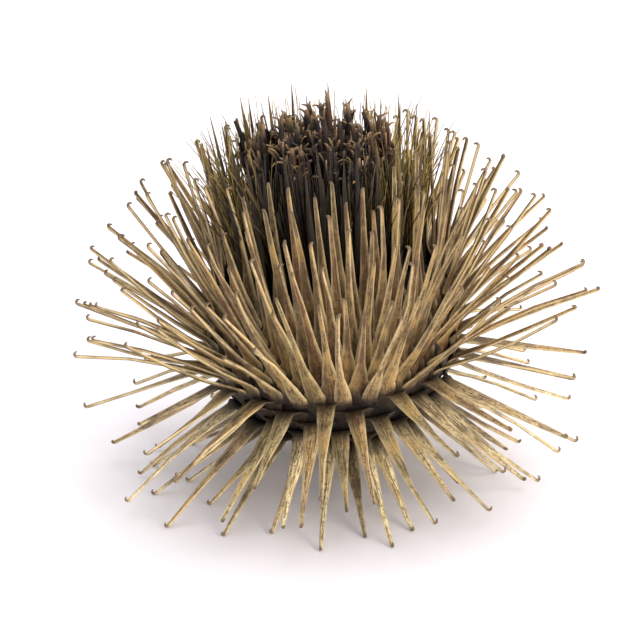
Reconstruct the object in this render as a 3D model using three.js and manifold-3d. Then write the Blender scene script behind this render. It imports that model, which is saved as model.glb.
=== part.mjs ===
// A dry burdock burr: the ripe flower head of the greater burdock, picked and set down on its lower
// bracts. Millimetres, +Z up. The origin is on the table, under the middle of the head.
//
// The head is a round cup, the involucre, covered in stiff bracts that end in hooks. The bracts follow
// one another up the cup at the golden angle, as leaves do on a shoot, and thirteen or seventeen of
// them make one row: a band of overlapping bases with the free blades on it. The cup is closed inside
// by the receptacle, which carries two rows of straight inner bracts and the withered florets.
import * as THREE from "three";
import { mergeVertices } from "three/addons/utils/BufferGeometryUtils.js";
import Module from "manifold-3d";

const wasm = await Module();
wasm.setup();

// ---- Driving dimensions ------------------------------------------------------------------------

const CUP_RADIUS = 10.4; // of the bands of bract bases, at the widest
const CUP_HALF_HEIGHT = 9.0;
const CUP_FULLNESS = 0.8; // under 1 fills the cup's shoulders out from an ellipse
const CUP_WALL = 1.0; // thickness of a band of bract bases
const CUP_CENTRE_HEIGHT = 12.9; // of the cup's middle over the table
const LEAN = THREE.MathUtils.degToRad(5); // of the whole head, towards -X
const SEAT_GAP = 0.15; // between pieces that grow against each other

const HANGING_ROWS = 6;
const HANGING_CROWDING = 1.3; // over 1 puts the hanging rows closer together at the parting
const SPREADING_ROWS = 13;
const INNER_ROWS = 2;
const BRACTS_IN_HANGING_ROW = 13;
const BRACTS_IN_ROW = 17; // of every row above the hanging ones
const LOWEST_BRACT_AT = THREE.MathUtils.degToRad(-62); // round the cup's meridian, from its equator
const PARTING_AT = THREE.MathUtils.degToRad(-12); // above it the bracts spread, below it they hang
const RIM_AT = THREE.MathUtils.degToRad(42);
const INNER_RIM_AT = THREE.MathUtils.degToRad(55);

const HOOK_TIP_REACH = 22.3; // from the cup's middle to the hooks, up to the parting
const RIM_TIP_REACH = 18.9; // the same, for the bracts at the rim
const LOWEST_BRACT_LENGTH = 8.5;
const NECK_LENGTH = 0.4; // how far a bract stands straight out of the cup before it turns
const SHORTEST_CUT = 0.38; // share by which the shortest bracts fall short of that; most are near it
const HANGING_BASE_WIDTH = 1.5; // of a blade at its neck
const SPREADING_BASE_WIDTH = 1.2;
const SHOULDER_AT = 0.28; // share of a spreading blade's length at which its broad base ends
const SHOULDER_WIDTH = 0.44;
const BLADE_BASE_DEPTH = 0.34;
const NEEDLE_WIDTH = 0.3;
const NEEDLE_DEPTH = 0.26;
const TIP_SIZE = 0.12;
const HOOK_RADIUS = 0.34; // outside of the bend
const HOOK_TURN = THREE.MathUtils.degToRad(175);
const RIM_PITCH = THREE.MathUtils.degToRad(86); // of a blade over level
const PARTING_PITCH = THREE.MathUtils.degToRad(15);
const HANGING_PITCH = THREE.MathUtils.degToRad(-16);
const LOWEST_PITCH = THREE.MathUtils.degToRad(-52);
const PITCH_SPREAD = THREE.MathUtils.degToRad(4);
const FRONT_LIFT = THREE.MathUtils.degToRad(30); // of the lowest spreading bracts at the front
const YAW_SPREAD = THREE.MathUtils.degToRad(4);

const INNER_LENGTH = 11.2;
const INNER_LENGTH_SPREAD = 0.07;
const INNER_WIDTH = 0.6;
const INNER_DEPTH = 0.3;
const INNER_TAPER_AT = 0.6; // share of the length from which an inner bract tapers
const INNER_PITCH = THREE.MathUtils.degToRad(84);

const FLORET_COUNT = 36;
const FLORET_LENGTH = 12.9;
const FLORET_RADIUS = 0.4;
const FLORET_BELL_RADIUS = 0.7;
const FLORET_SPLAY = THREE.MathUtils.degToRad(5); // of the outermost florets
const FLORET_DOME = 1.8; // how much shorter the outermost florets are
const FLORET_LENGTH_SPREAD = 0.06;

const STUB_RADIUS = 1.35;
const STUB_LENGTH = 3.2;

const GOLDEN_ANGLE = Math.PI * (3 - Math.sqrt(5));
const BAND_SIDES = 20;

// ---- Colours, as material for each kind of piece -----------------------------------------------

const bractStraw = new THREE.MeshStandardMaterial({ color: 0x8f7a54, roughness: 0.75, metalness: 0 });
const innerStraw = new THREE.MeshStandardMaterial({ color: 0x9c8656, roughness: 0.7, metalness: 0 });
const floretBrown = new THREE.MeshStandardMaterial({ color: 0x2e221a, roughness: 0.85, metalness: 0 });
const stalkBrown = new THREE.MeshStandardMaterial({ color: 0x6b5a3c, roughness: 0.8, metalness: 0 });

// ---- Helpers -----------------------------------------------------------------------------------

// A fixed number from -1 to 1 that looks random, for the piece with this number. Each kind of
// unevenness has its own channel.
function uneven(number, channel) {
  const wave = Math.sin(number * 12.9898 + channel * 78.233) * 43758.5453;
  return 2 * (wave - Math.floor(wave)) - 1;
}

function smoothStep(share) {
  const clamped = THREE.MathUtils.clamp(share, 0, 1);
  return clamped * clamped * (3 - 2 * clamped);
}

// A closed geometry as a manifold-3d solid.
function solidFrom(geometry) {
  const bare = geometry.clone();
  bare.deleteAttribute("normal");
  bare.deleteAttribute("uv");
  const merged = mergeVertices(bare, 1e-4);
  return new wasm.Manifold(
    new wasm.Mesh({
      numProp: 3,
      vertProperties: new Float32Array(merged.attributes.position.array),
      triVerts: new Uint32Array(merged.index.array),
    }),
  );
}

// A manifold-3d solid as a geometry.
function geometryFrom(solid) {
  const mesh = solid.getMesh();
  const geometry = new THREE.BufferGeometry();
  geometry.setAttribute("position", new THREE.BufferAttribute(mesh.vertProperties, 3));
  geometry.setIndex(new THREE.BufferAttribute(mesh.triVerts, 1));
  geometry.computeVertexNormals();
  return geometry;
}

// A closed profile of [radius, height] points turned round the head's axis, which is Z.
function turned(profile, sides) {
  const points = profile.map(([radius, height]) => new THREE.Vector2(radius, height));
  return new THREE.LatheGeometry(points, sides).rotateX(Math.PI / 2);
}

// ---- The cup's shape ---------------------------------------------------------------------------

// The point [radius, height] of the cup's meridian at this angle from its equator, with the surface
// moved inwards by depth.
function cupPoint(angle, depth = 0) {
  return [
    (CUP_RADIUS - depth) * Math.cos(angle) ** CUP_FULLNESS,
    (CUP_HALF_HEIGHT - depth) * Math.sin(angle),
  ];
}

// How far the cup's outward direction at this angle of its meridian stands up from level.
function cupTilt(angle) {
  const step = 1e-4;
  const [lowRadius, lowHeight] = cupPoint(angle - step);
  const [highRadius, highHeight] = cupPoint(angle + step);
  return Math.atan2(lowRadius - highRadius, highHeight - lowHeight);
}

// Angles that part the cup between two angles into bands of equal area, so that every row of bracts
// has the same room.
function equalBands(from, to, count) {
  const steps = 600;
  const areas = [0];
  const angles = [from];
  for (let step = 1; step <= steps; step += 1) {
    const angle = from + ((to - from) * step) / steps;
    const [radiusA, heightA] = cupPoint(angles[step - 1]);
    const [radiusB, heightB] = cupPoint(angle);
    const along = Math.hypot(radiusB - radiusA, heightB - heightA);
    areas.push(areas[step - 1] + along * (radiusA + radiusB));
    angles.push(angle);
  }
  const edges = [];
  for (let edge = 0; edge <= count; edge += 1) {
    const wanted = (areas[steps] * edge) / count;
    const step = Math.max(1, areas.findIndex((area) => area >= wanted - 1e-9));
    const share = (wanted - areas[step - 1]) / (areas[step] - areas[step - 1]);
    edges.push(THREE.MathUtils.lerp(angles[step - 1], angles[step], share));
  }
  return edges;
}

// The band of bract bases between two angles of the cup, with half of the seat gap kept at each edge.
function band(lowAngle, highAngle) {
  const [lowRadius, lowHeight] = cupPoint(lowAngle);
  const [highRadius, highHeight] = cupPoint(highAngle);
  const along = Math.hypot(highRadius - lowRadius, highHeight - lowHeight);
  const trim = ((highAngle - lowAngle) * SEAT_GAP) / 2 / along;
  const low = lowAngle + trim;
  const high = highAngle - trim;
  const profile = [
    cupPoint(low),
    cupPoint(high),
    cupPoint(high, CUP_WALL),
    cupPoint(low, CUP_WALL),
    cupPoint(low),
  ];
  return turned(profile, BAND_SIDES);
}

// ---- Bracts ------------------------------------------------------------------------------------

// The table's upward direction as the leaning head sees it.
const tableUp = new THREE.Vector3(0, 0, 1).applyAxisAngle(new THREE.Vector3(0, 1, 0), LEAN);
const headUp = new THREE.Vector3(0, 0, 1);

function heightOverTable(point) {
  return point.dot(tableUp) + CUP_CENTRE_HEIGHT;
}

// A three-sided blade: a flat outer face and a ridge on its inner side. Each station has the middle
// of its flat face, the way to its ridge, and its width and depth. The blade is a three-sided
// cylinder whose rings are moved to the stations.
function blade(stations, across) {
  const rings = stations.length - 1;
  const geometry = new THREE.CylinderGeometry(1, 1, 1, 3, rings);
  const position = geometry.attributes.position;
  for (let vertex = 0; vertex < position.count; vertex += 1) {
    const sideways = position.getX(vertex) / Math.sin(Math.PI / 3);
    const inwards = (position.getZ(vertex) + 0.5) / 1.5;
    const station = stations[Math.round((0.5 - position.getY(vertex)) * rings)];
    const moved = station.middle
      .clone()
      .addScaledVector(across, sideways * (station.width / 2))
      .addScaledVector(station.inwards, inwards * station.depth);
    position.setXYZ(vertex, moved.x, moved.y, moved.z);
  }
  return geometry;
}

// Where a bract grows on the cup, and how it stands there. It leaves the cup square to its surface,
// for the length of the neck, and then turns to its pitch. One that would go through the table is
// bent up until the outside of its hook lies flat on it.
function bractPose(number, bandMiddle, pitch, length) {
  const turn = number * GOLDEN_ANGLE;
  const outwards = new THREE.Vector3(Math.cos(turn), Math.sin(turn), 0);
  const tilt = cupTilt(bandMiddle);
  const square = outwards.clone().multiplyScalar(Math.cos(tilt)).addScaledVector(headUp, Math.sin(tilt));
  const upTheCup = outwards
    .clone()
    .multiplyScalar(-Math.sin(tilt))
    .addScaledVector(headUp, Math.cos(tilt));
  const [radius, height] = cupPoint(bandMiddle);
  const surface = outwards.clone().multiplyScalar(radius).setZ(height);
  const root = surface.clone().addScaledVector(square, -CUP_WALL / 2);
  const neck = surface.clone().addScaledVector(square, NECK_LENGTH);

  const heading = outwards.clone().applyAxisAngle(headUp, uneven(number, 1) * YAW_SPREAD);
  const forwards = heading
    .clone()
    .multiplyScalar(Math.cos(pitch))
    .addScaledVector(headUp, Math.sin(pitch));
  let inwards = heading
    .clone()
    .multiplyScalar(-Math.sin(pitch))
    .addScaledVector(headUp, Math.cos(pitch));
  let firstTurn = HOOK_TURN / 3;
  const hookDip = HOOK_RADIUS * (1 - Math.cos(pitch));
  if (heightOverTable(neck) + length * forwards.dot(tableUp) < hookDip) {
    const level = forwards.clone().addScaledVector(tableUp, -forwards.dot(tableUp)).normalize();
    const drop = Math.asin(heightOverTable(neck) / length);
    forwards.copy(level).multiplyScalar(Math.cos(drop)).addScaledVector(tableUp, -Math.sin(drop));
    inwards = level.multiplyScalar(Math.sin(drop)).addScaledVector(tableUp, Math.cos(drop));
    firstTurn = 2 * drop;
  }
  const across = new THREE.Vector3().crossVectors(inwards, forwards).normalize();
  return { root, neck, upTheCup, forwards, inwards, across, firstTurn };
}

// The first two stations of a bract, in the cup's wall and at the neck, with its depth centred there.
function rootStations({ root, neck, upTheCup, inwards }, width, depth) {
  const atNeck = upTheCup.clone().add(inwards).normalize();
  return [
    { middle: root.clone().addScaledVector(upTheCup, -depth / 2), inwards: upTheCup, width, depth },
    { middle: neck.clone().addScaledVector(atNeck, -depth / 2), inwards: atNeck, width, depth },
  ];
}

// How steeply the bracts at this angle of the cup's meridian stand. They turn upwards row by row, and
// those below the parting hang down to the table.
function plainPitch(angle) {
  if (angle < PARTING_AT) {
    return THREE.MathUtils.mapLinear(angle, LOWEST_BRACT_AT, PARTING_AT, LOWEST_PITCH, HANGING_PITCH);
  }
  return THREE.MathUtils.mapLinear(angle, PARTING_AT, RIM_AT, PARTING_PITCH, RIM_PITCH);
}

// The burr has been pressed at its front, so the spreading bracts there stand up more steeply.
function hookedBract(number, bandMiddle) {
  const [radius, height] = cupPoint(bandMiddle);
  const hangs = bandMiddle < PARTING_AT;
  const upToRim = Math.max(0, (bandMiddle - PARTING_AT) / (RIM_AT - PARTING_AT));
  const atFront = Math.max(0, -Math.sin(number * GOLDEN_ANGLE)) ** 2;
  const lift = hangs ? 0 : FRONT_LIFT * atFront * (1 - upToRim);
  const pitch = plainPitch(bandMiddle) + lift + uneven(number, 2) * PITCH_SPREAD;
  // The distance from the cup to the round shell of hook tips, along this pitch.
  const reach = THREE.MathUtils.lerp(HOOK_TIP_REACH, RIM_TIP_REACH, upToRim);
  const along = radius * Math.cos(pitch) + height * Math.sin(pitch);
  const toShell = Math.sqrt(along ** 2 + reach ** 2 - radius ** 2 - height ** 2) - along;
  const upFromLowest = 1 - bandMiddle / LOWEST_BRACT_AT;
  const fullLength = THREE.MathUtils.lerp(LOWEST_BRACT_LENGTH, toShell, smoothStep(upFromLowest * 1.8));
  const cut = SHORTEST_CUT * (0.5 + uneven(number, 3) / 2) ** 3;
  const length = fullLength * (1 - cut) - NECK_LENGTH;

  const pose = bractPose(number, bandMiddle, pitch, length);
  const { neck, forwards, inwards, across, firstTurn } = pose;
  const onHook = (turn, width, depth) => ({
    middle: neck
      .clone()
      .addScaledVector(forwards, length + HOOK_RADIUS * Math.sin(turn))
      .addScaledVector(inwards, HOOK_RADIUS * (1 - Math.cos(turn))),
    inwards: inwards
      .clone()
      .multiplyScalar(Math.cos(turn))
      .addScaledVector(forwards, -Math.sin(turn)),
    width,
    depth,
  });
  const shoulder = {
    middle: neck.clone().addScaledVector(forwards, SHOULDER_AT * length),
    inwards,
    width: SHOULDER_WIDTH,
    depth: NEEDLE_DEPTH,
  };
  return blade(
    [
      ...rootStations(pose, hangs ? HANGING_BASE_WIDTH : SPREADING_BASE_WIDTH, BLADE_BASE_DEPTH),
      ...(hangs ? [] : [shoulder]),
      onHook(0, NEEDLE_WIDTH, NEEDLE_DEPTH),
      onHook(firstTurn, NEEDLE_WIDTH, NEEDLE_DEPTH),
      onHook(HOOK_TURN, TIP_SIZE, TIP_SIZE),
    ],
    across,
  );
}

function straightBract(number, bandMiddle) {
  const pitch = INNER_PITCH + (uneven(number, 2) * PITCH_SPREAD) / 2;
  const length = INNER_LENGTH * (1 + uneven(number, 3) * INNER_LENGTH_SPREAD);
  const pose = bractPose(number, bandMiddle, pitch, length);
  const { neck, forwards, inwards, across } = pose;
  const onBlade = (share, width, depth) => ({
    middle: neck.clone().addScaledVector(forwards, share * length),
    inwards,
    width,
    depth,
  });
  return blade(
    [
      ...rootStations(pose, INNER_WIDTH, INNER_DEPTH),
      onBlade(INNER_TAPER_AT, INNER_WIDTH, INNER_DEPTH),
      onBlade(1, TIP_SIZE, TIP_SIZE),
    ],
    across,
  );
}

// One row: the band between two angles of the cup and the bracts on it, joined. The bracts are
// numbered on from the row below.
let nextBract = 0;
function bractRow(lowAngle, highAngle, count, makeBract) {
  let joined = solidFrom(band(lowAngle, highAngle));
  for (let place = 0; place < count; place += 1) {
    joined = joined.add(solidFrom(makeBract(nextBract, (lowAngle + highAngle) / 2)));
    nextBract += 1;
  }
  return geometryFrom(joined);
}

// ---- Pieces ------------------------------------------------------------------------------------

const head = new THREE.Group();
head.position.z = CUP_CENTRE_HEIGHT;
head.rotation.y = -LEAN;

function addPiece(name, geometry, material) {
  const mesh = new THREE.Mesh(geometry, material);
  mesh.name = name;
  head.add(mesh);
  return mesh;
}

const twoDigits = (number) => String(number).padStart(2, "0");

const hookedEdges = equalBands(PARTING_AT, RIM_AT, SPREADING_ROWS);
for (let row = 1; row <= HANGING_ROWS; row += 1) {
  const down = (row / HANGING_ROWS) ** HANGING_CROWDING;
  hookedEdges.unshift(THREE.MathUtils.lerp(PARTING_AT, LOWEST_BRACT_AT, down));
}
for (let row = 0; row < HANGING_ROWS + SPREADING_ROWS; row += 1) {
  const count = row < HANGING_ROWS ? BRACTS_IN_HANGING_ROW : BRACTS_IN_ROW;
  const geometry = bractRow(hookedEdges[row], hookedEdges[row + 1], count, hookedBract);
  addPiece(`hooked_bracts_row_${twoDigits(row + 1)}`, geometry, bractStraw);
}

const innerEdges = equalBands(RIM_AT, INNER_RIM_AT, INNER_ROWS);
for (let row = 0; row < INNER_ROWS; row += 1) {
  const geometry = bractRow(innerEdges[row], innerEdges[row + 1], BRACTS_IN_ROW, straightBract);
  addPiece(`inner_bracts_row_${row + 1}`, geometry, innerStraw);
}

// The stalk's end. It comes out under the head as the short stub that stays on a picked burr, and
// swells inside the cup into the receptacle, which the bracts sit on and whose flat top is the
// florets' bed.
function stalkEnd() {
  const depth = CUP_WALL + SEAT_GAP;
  const steps = 9;
  const [, lowest] = cupPoint(-Math.PI / 2, depth);
  const swellsAt = -Math.acos((STUB_RADIUS / (CUP_RADIUS - depth)) ** (1 / CUP_FULLNESS));
  const profile = [
    [0, lowest - STUB_LENGTH],
    [STUB_RADIUS, lowest - STUB_LENGTH],
  ];
  for (let step = 0; step <= steps; step += 1) {
    profile.push(cupPoint(THREE.MathUtils.lerp(swellsAt, INNER_RIM_AT, step / steps), depth));
  }
  profile.push([0, profile.at(-1)[1]]);
  return turned(profile, 20);
}
addPiece("stalk_and_receptacle", stalkEnd(), stalkBrown);

// A withered floret: a thin tube that widens to a bell at its mouth. The florets fill the bed from
// the middle outwards at the golden angle, like seeds in a sunflower.
function floret() {
  const tube = new THREE.CylinderGeometry(1, 1, 1, 6, 3).rotateX(Math.PI / 2).translate(0, 0, 0.5);
  const radii = [FLORET_RADIUS, FLORET_RADIUS * 0.8, FLORET_BELL_RADIUS, FLORET_BELL_RADIUS * 0.7];
  const heights = [0, 0.55, 0.82, 1];
  const position = tube.attributes.position;
  for (let vertex = 0; vertex < position.count; vertex += 1) {
    const ring = Math.round(position.getZ(vertex) * 3);
    position.setXYZ(
      vertex,
      position.getX(vertex) * radii[ring],
      position.getY(vertex) * radii[ring],
      heights[ring],
    );
  }
  return tube;
}

const [bedEdge, bedHeight] = cupPoint(INNER_RIM_AT, CUP_WALL + SEAT_GAP);
const outermostFloret = bedEdge - FLORET_RADIUS - SEAT_GAP;
for (let number = 0; number < FLORET_COUNT; number += 1) {
  const outwards = Math.sqrt((number + 0.5) / FLORET_COUNT);
  const turn = number * GOLDEN_ANGLE;
  const length =
    (FLORET_LENGTH - FLORET_DOME * outwards ** 2) * (1 + uneven(number, 5) * FLORET_LENGTH_SPREAD);
  const geometry = floret().scale(1, 1, length);
  const mesh = addPiece(`floret_${twoDigits(number + 1)}`, geometry, floretBrown);
  const splay = FLORET_SPLAY * outwards;
  mesh.position.set(
    outermostFloret * outwards * Math.cos(turn),
    outermostFloret * outwards * Math.sin(turn),
    bedHeight + SEAT_GAP + FLORET_RADIUS * Math.sin(splay),
  );
  mesh.rotation.set(0, splay, turn, "ZYX");
}

// The middle of the burr's outline comes over the origin.
const burr = new THREE.Group();
burr.add(head);
burr.updateMatrixWorld(true);
const middle = new THREE.Box3().setFromObject(head, true).getCenter(new THREE.Vector3());
head.position.x -= middle.x;
head.position.y -= middle.y;

export default burr;
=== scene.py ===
# %% [markdown]
# # A burdock burr
#
# The dry flower head of the greater burdock is a ball of narrow leaves, the bracts, whose overlapping
# bases make a cup and whose tips are hooks. A tuft of withered florets stands in the cup.
#
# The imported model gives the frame: where the head stands and how big it is. Every piece below is made
# round it, in metres.

import bpy
import numpy as np
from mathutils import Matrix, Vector


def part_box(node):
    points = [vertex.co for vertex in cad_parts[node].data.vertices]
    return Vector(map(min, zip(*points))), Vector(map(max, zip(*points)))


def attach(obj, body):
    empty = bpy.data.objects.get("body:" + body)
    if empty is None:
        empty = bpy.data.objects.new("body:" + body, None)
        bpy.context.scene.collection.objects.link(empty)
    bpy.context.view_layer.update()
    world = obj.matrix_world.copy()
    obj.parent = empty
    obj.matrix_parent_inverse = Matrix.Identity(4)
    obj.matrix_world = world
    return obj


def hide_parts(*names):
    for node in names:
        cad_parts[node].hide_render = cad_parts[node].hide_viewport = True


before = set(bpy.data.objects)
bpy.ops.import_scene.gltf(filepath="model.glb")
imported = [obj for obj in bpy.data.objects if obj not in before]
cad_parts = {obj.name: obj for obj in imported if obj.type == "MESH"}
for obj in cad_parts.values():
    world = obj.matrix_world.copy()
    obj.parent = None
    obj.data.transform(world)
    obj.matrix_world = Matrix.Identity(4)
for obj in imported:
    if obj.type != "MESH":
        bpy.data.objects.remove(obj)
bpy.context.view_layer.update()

# %% [markdown]
# ## Growth rules
#
# A burr's bracts and florets follow one another at the golden angle, about 137.5 degrees, so that no
# two stand above each other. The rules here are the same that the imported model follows, in metres.
# They could be read off its meshes instead, but a rule gives the smooth shape that the faceted solid
# only stands for.
#
# Growth is uneven too. Seeded random numbers could give that, but they all change when a piece is
# added before them. Here every piece has a number, and its unevenness is worked out from that.

# %% Turns, unevenness and smooth steps
MM = 0.001
GOLDEN_ANGLE = np.pi * (3 - np.sqrt(5))
NUMBER_STEP, CHANNEL_STEP, WAVE_HEIGHT = 12.9898, 78.233, 43758.5453


def uneven(number, channel):
    """A fixed number from -1 to 1 for each piece number: the fraction of a very high sine wave.
    Every channel gives other numbers, so that length and tone, say, don't go together."""
    wave = np.sin(np.asarray(number) * NUMBER_STEP + channel * CHANNEL_STEP) * WAVE_HEIGHT
    return 2 * (wave - np.floor(wave)) - 1


def varied(number, middle, spread, channel):
    """A value that spreads evenly round its middle, by the unevenness of a channel of its own. The
    three are written together wherever a piece has such a value."""
    return middle + spread * uneven(number, channel)


def at_front(turn):
    """1 at the front of the head, falling to 0 at its sides: the squared sine of the turn."""
    return np.maximum(0, -np.sin(turn)) ** 2


def blend_step(share):
    """A smooth step: 0 below 0, 1 above 1, and three share squared less two share cubed between."""
    share = np.clip(share, 0, 1)
    return share * share * (3 - 2 * share)


print("golden angle:", round(float(np.degrees(GOLDEN_ANGLE)), 1), "degrees")

# %% [markdown]
# ## The cup
#
# The cup is the body of the head, hidden under the bracts that grow on it. Its outline is a slightly
# squared ellipse, turned round the head's axis. An angle along that outline, from the equator, says
# where a row of bracts grows. A curve drawn by hand would give the shape too, but the formula also
# gives the direction square to the cup wherever a bract grows.

# %% The cup's outline
CUP_RADIUS = 10.4 * MM
CUP_HALF_HEIGHT = 9.0 * MM
CUP_FULLNESS = 0.8


def cup_point(angle, depth=0.0):
    """Radius and height of the outline: cosine to the power of its fullness, and sine."""
    return (
        (CUP_RADIUS - depth) * np.cos(angle) ** CUP_FULLNESS,
        (CUP_HALF_HEIGHT - depth) * np.sin(angle),
    )


def cup_tilt(angle):
    """How far the outline's outward direction stands up from level, from two close points."""
    step = 1e-4
    low_radius, low_height = cup_point(angle - step)
    high_radius, high_height = cup_point(angle + step)
    return np.arctan2(low_radius - high_radius, high_height - low_height)


# %% The rows of bracts on the cup
LOWEST_BRACT_AT = np.radians(-62)
PARTING_AT = np.radians(-12)  # hanging bracts below it, spreading ones above
RIM_AT = np.radians(42)
INNER_RIM_AT = np.radians(55)
HANGING_ROWS = 6
HANGING_CROWDING = 1.3  # above 1, so the hanging rows lie closer towards the parting
SPREADING_ROWS = 13
INNER_ROWS = 2


def equal_bands(start, end, count):
    """Angles that part the cup into bands of equal area: the summed area is inverted."""
    angles = np.linspace(start, end, 601)
    radius, height = cup_point(angles)
    along = np.hypot(np.diff(radius), np.diff(height))
    area = np.concatenate(([0], np.cumsum(along * (radius[1:] + radius[:-1]))))
    return np.interp(np.linspace(0, area[-1], count + 1), area, angles)


down = np.linspace(1, 0, HANGING_ROWS + 1)[:-1] ** HANGING_CROWDING
hanging_edges = PARTING_AT + (LOWEST_BRACT_AT - PARTING_AT) * down
hooked_edges = np.concatenate((hanging_edges, equal_bands(PARTING_AT, RIM_AT, SPREADING_ROWS)))
inner_edges = equal_bands(RIM_AT, INNER_RIM_AT, INNER_ROWS)
print("rows of bracts:", len(hooked_edges) - 1, "hooked,", len(inner_edges) - 1, "straight")

# %% [markdown]
# ## From the head to the table
#
# The head leans a little on the bracts that carry it. Each piece could be leant as an object, but a
# finished piece keeps its place in its mesh, so every point is worked out in the head's own upright
# frame and then turned. The stalk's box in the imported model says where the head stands.

# %% The head's place
CUP_WALL = 1.0 * MM
SEAT_GAP = 0.15 * MM
CUP_CENTRE_HEIGHT = 12.9 * MM
LEAN = np.radians(5)
OUTLINE_POINTS = 200

head_turn = np.array(
    [
        [np.cos(LEAN), 0, -np.sin(LEAN)],
        [0, 1, 0],
        [np.sin(LEAN), 0, np.cos(LEAN)],
    ]
)
table_up = head_turn[2]


def turned_receptacle():
    """Close points on the stalk end's surface: its outline turned round the axis, and leant."""
    depth = CUP_WALL + SEAT_GAP
    radius, height = cup_point(np.linspace(-np.pi / 2, INNER_RIM_AT, OUTLINE_POINTS), depth)
    turn = np.linspace(0, 2 * np.pi, OUTLINE_POINTS)
    points = np.stack(
        (
            np.outer(radius, np.cos(turn)),
            np.outer(radius, np.sin(turn)),
            np.outer(height, np.ones_like(turn)),
        ),
        axis=-1,
    )
    return points.reshape(-1, 3) @ head_turn.T


receptacle_low, receptacle_high = (np.array(corner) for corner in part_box("stalk_and_receptacle"))
receptacle_points = turned_receptacle()
model_middle = (receptacle_points.min(0) + receptacle_points.max(0)) / 2
frame_middle = (receptacle_low + receptacle_high) / 2
head_place = np.array(
    [frame_middle[0] - model_middle[0], frame_middle[1] - model_middle[1], CUP_CENTRE_HEIGHT]
)
print("the head's centre is at", head_place)


def on_table(points):
    """Points of the upright head, leant over and moved to where the head stands."""
    return points @ head_turn.T + head_place


def height_over_table(points):
    """How high points of the upright head come to lie over the table."""
    return points @ table_up + CUP_CENTRE_HEIGHT


# %% [markdown]
# ## Materials
#
# A finish is a small network of nodes. One function adds a node with its settings and links, and one
# turns the hex values of a colour chart into the linear values that the renderer works in.
#
# Dry plant skin is many thin layers of colour over one another: age, sun, dirt, fibres. They could be
# painted on an image, but layers worked out from the place on the piece stay sharp close up, and no
# two pieces get the same. So every finish here starts from one colour and tints it layer by layer.

# %% Node and colour helpers
def linear(hex_colour):
    """sRGB hex to linear RGBA: the low end is divided by 12.92, the rest follows the 2.4 power."""
    channels = np.array([int(hex_colour[i:i + 2], 16) for i in (1, 3, 5)]) / 255
    curve = np.where(channels <= 0.04045, channels / 12.92, ((channels + 0.055) / 1.055) ** 2.4)
    return (*curve.tolist(), 1.0)


def add_node(tree, kind, settings=None, **inputs):
    """Adds a node. Settings are its properties; an input is a value, or an output socket to link.
    Underscores in an input's name stand for spaces, and n with a number picks one by its order."""
    node = tree.nodes.new(kind)
    for key, value in (settings or {}).items():
        setattr(node, key, value)
    for key, value in inputs.items():
        by_order = key[0] == "n" and key[1:].isdigit()
        socket = node.inputs[int(key[1:]) if by_order else key.replace("_", " ")]
        if isinstance(value, bpy.types.NodeSocket):
            tree.links.new(value, socket)
        else:
            socket.default_value = value
    return node


def new_finish(name, *carried):
    """An empty material, its tree, and the values that the piece's points carry by these names."""
    material = bpy.data.materials.new(name)
    material.use_nodes = True
    tree = material.node_tree
    tree.nodes.clear()
    values = [add_node(tree, "ShaderNodeAttribute", {"attribute_name": key}) for key in carried]
    return material, tree, *(node.outputs["Fac"] for node in values)


# %% Layers of colour, fibres and relief
FIBRE_IOR = 1.5  # cellulose, which dry leaf, wood and card are made of


def tinted(tree, colour, tint, value, bare, full, most=1.0):
    """Lays a tint over a colour: none of it where the value is at bare, growing evenly to its most
    where the value is at full, which may be the lower of the two."""
    share = add_node(
        tree, "ShaderNodeMapRange", {"clamp": True},
        Value=value, From_Min=bare, From_Max=full, To_Min=0.0, To_Max=most,
    )
    mix = add_node(
        tree, "ShaderNodeMix", {"data_type": "RGBA"},
        n0=share.outputs["Result"], n6=colour, n7=linear(tint),
    )
    return mix.outputs[2]


def fibres(tree, across_per_mm, along_per_mm, detail=2.0):
    """Streaks that run along a piece: noise on its own map, squeezed across and drawn out along."""
    place = add_node(tree, "ShaderNodeUVMap", {"uv_map": "fibre_map"})
    drawn = add_node(
        tree, "ShaderNodeMapping",
        Vector=place.outputs["UV"], Scale=(across_per_mm, along_per_mm, 1.0),
    )
    noise = add_node(
        tree, "ShaderNodeTexNoise", {"noise_dimensions": "2D"},
        Vector=drawn.outputs["Vector"], Scale=1.0, Detail=detail, Roughness=0.6,
    )
    return noise.outputs["Fac"]


def finish_surface(tree, colour, roughness, height=None, height_mm=0.0):
    """Joins colour, roughness and relief in the shader and links it to the output."""
    shader = add_node(tree, "ShaderNodeBsdfPrincipled", Base_Color=colour, Roughness=roughness,
                      Metallic=0.0, IOR=FIBRE_IOR)
    if height is not None:
        relief = add_node(tree, "ShaderNodeBump", Height=height, Strength=1.0, Distance=height_mm * MM)
        tree.links.new(relief.outputs["Normal"], shader.inputs["Normal"])
    add_node(tree, "ShaderNodeOutputMaterial", Surface=shader.outputs["BSDF"])
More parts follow.
